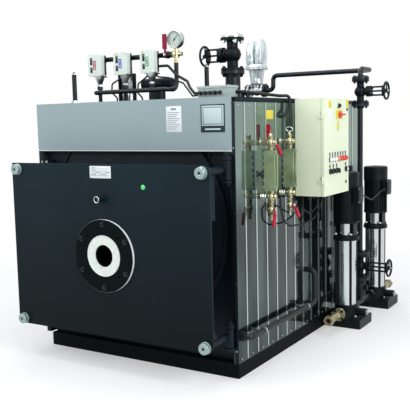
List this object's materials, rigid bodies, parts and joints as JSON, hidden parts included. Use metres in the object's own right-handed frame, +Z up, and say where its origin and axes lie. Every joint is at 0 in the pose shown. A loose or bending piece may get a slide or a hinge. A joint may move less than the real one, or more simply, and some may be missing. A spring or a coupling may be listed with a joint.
{
  "type": "steam boiler",
  "caption": "Packaged fire-tube steam boiler on a skid: hinged burner door, polished casing, level gauges, control cabinet, feed pumps and top fittings.",
  "frame": {"origin": "on the floor, under the skid's middle cross-member, on the casing's centre line", "axes": "+X to the right seen from the burner front, +Y back from the burner front, +Z up"},
  "size_m": [1.725, 2.43, 1.978],
  "materials": {
    "door_slate": "satin",
    "front_black": "satin",
    "header_grey": "satin",
    "skid_black": "satin",
    "cable_black": "matte",
    "boiler_steel": "matte",
    "refractory": "matte",
    "fibre": "matte",
    "polished_stainless": "polished",
    "bright_steel": "polished",
    "brass": "satin",
    "zinc": "satin",
    "cabinet_paint": "satin",
    "galvanised": "satin",
    "switch_red": "gloss",
    "lever_red": "satin",
    "off_white": "satin",
    "valve_white": "satin",
    "box_grey": "satin",
    "pipe_black": "satin",
    "valve_silver": "satin",
    "valve_blue": "satin",
    "wheel_black": "gloss",
    "pump_black": "satin"
  },
  "bodies": {
    "boiler": {"base_frame": "skid_black", "blowdown_pipe": "pipe_black", "cabinet_box": "cabinet_paint", "cable_runs": "cable_black", "catch_blocks": "front_black", "control_valve": "valve_silver", "feed_pipework": "pipe_black", "feed_run_pipe": "pipe_black", "feed_valves": "valve_blue", "flue_collar": "boiler_steel", "front_plate": "front_black", "furnace": "boiler_steel", "gauge_cock": "brass", "header_panel": "header_grey", "hinge_brackets": "front_black", "junction_box": "box_grey", "level_gauges": "zinc", "level_probes": "pipe_black", "level_valves": "brass", "mounting_plate": "galvanised", "outlet_cover": "polished_stainless", "pressure_gauge": "bright_steel", "pressure_shell": "boiler_steel", "pressure_switches": "off_white", "pump_bases": "pump_black", "pump_guards": "polished_stainless", "pump_heads": "pump_black", "pump_motors": "pump_black", "pump_plates": "pump_black", "pump_sleeves": "polished_stainless", "rear_panel": "polished_stainless", "side_panels": "polished_stainless", "siphon_pipe": "pipe_black", "smoke_box": "boiler_steel", "smoke_tubes": "boiler_steel", "steam_nozzle": "pipe_black", "steam_valve": "valve_blue", "suction_unions": "brass", "switch_manifold": "pipe_black", "switch_supports": "front_black", "top_panel": "polished_stainless", "tube_plates": "boiler_steel", "valve_actuator": "valve_white"},
    "front_door": {"door_plate": "door_slate", "door_lining": "refractory", "burner_flange": "door_slate", "burner_fibre_ring": "fibre", "sight_glass": "brass", "door_arms": "front_black", "door_knobs": "bright_steel"},
    "control_door": {"cabinet_door": "cabinet_paint"},
    "switch_grip": {"main_switch": "switch_red"},
    "steam_wheel": {"steam_handwheel": "wheel_black"},
    "feed_wheel": {"feed_handwheel": "wheel_black"},
    "pump_wheel": {"pump_handwheel": "wheel_black"},
    "gauge_cock_lever": {"lever_gauge_cock": "lever_red"},
    "nipple_lever": {"lever_nipple": "lever_red"},
    "top_lever": {"lever_top": "lever_red"},
    "near_drain_lever": {"lever_drain_near": "lever_red"},
    "far_drain_lever": {"lever_drain_far": "lever_red"}
  },
  "joints": [
    {"name": "front_door_hinge", "type": "hinge", "parent": "boiler", "child": "front_door", "pos_m": [0.655, -0.93, 0.674], "axis": [0, 0, 1], "range_deg": [0, 100]},
    {"name": "control_door_hinge", "type": "hinge", "parent": "boiler", "child": "control_door", "pos_m": [0.906, -0.27, 1.2055], "axis": [0, 0, -1], "range_deg": [0, 120]},
    {"name": "main_switch_turn", "type": "hinge", "parent": "control_door", "child": "switch_grip", "pos_m": [0.9153, -0.031, 1.393], "axis": [1, 0, 0], "range_deg": [0, 90]},
    {"name": "steam_wheel_turn", "type": "hinge", "parent": "boiler", "child": "steam_wheel", "pos_m": [0.12, -0.25, 1.771], "axis": [-1, 0, 0], "range_deg": [0, 1080]},
    {"name": "feed_wheel_turn", "type": "hinge", "parent": "boiler", "child": "feed_wheel", "pos_m": [0.998, 0.6, 1.547], "axis": [1, 0, 0], "range_deg": [0, 1080]},
    {"name": "pump_wheel_turn", "type": "hinge", "parent": "boiler", "child": "pump_wheel", "pos_m": [1.023, 0.6, 0.356], "axis": [1, 0, 0], "range_deg": [0, 1080]},
    {"name": "gauge_cock_turn", "type": "hinge", "parent": "boiler", "child": "gauge_cock_lever", "pos_m": [0.06, -0.57, 1.765], "axis": [0, 1, 0], "range_deg": [0, 90]},
    {"name": "nipple_cock_turn", "type": "hinge", "parent": "boiler", "child": "nipple_lever", "pos_m": [0.722, -0.63, 1.249], "axis": [0, -1, 0], "range_deg": [-90, 0]},
    {"name": "top_cock_turn", "type": "hinge", "parent": "boiler", "child": "top_lever", "pos_m": [0.757, -0.63, 1.249], "axis": [1, 0, 0], "range_deg": [0, 90]},
    {"name": "near_drain_turn", "type": "hinge", "parent": "boiler", "child": "near_drain_lever", "pos_m": [0.757, -0.63, 0.885], "axis": [1, 0, 0], "range_deg": [-90, 0]},
    {"name": "far_drain_turn", "type": "hinge", "parent": "boiler", "child": "far_drain_lever", "pos_m": [0.757, -0.391, 0.885], "axis": [1, 0, 0], "range_deg": [0, 90]}
  ]
}
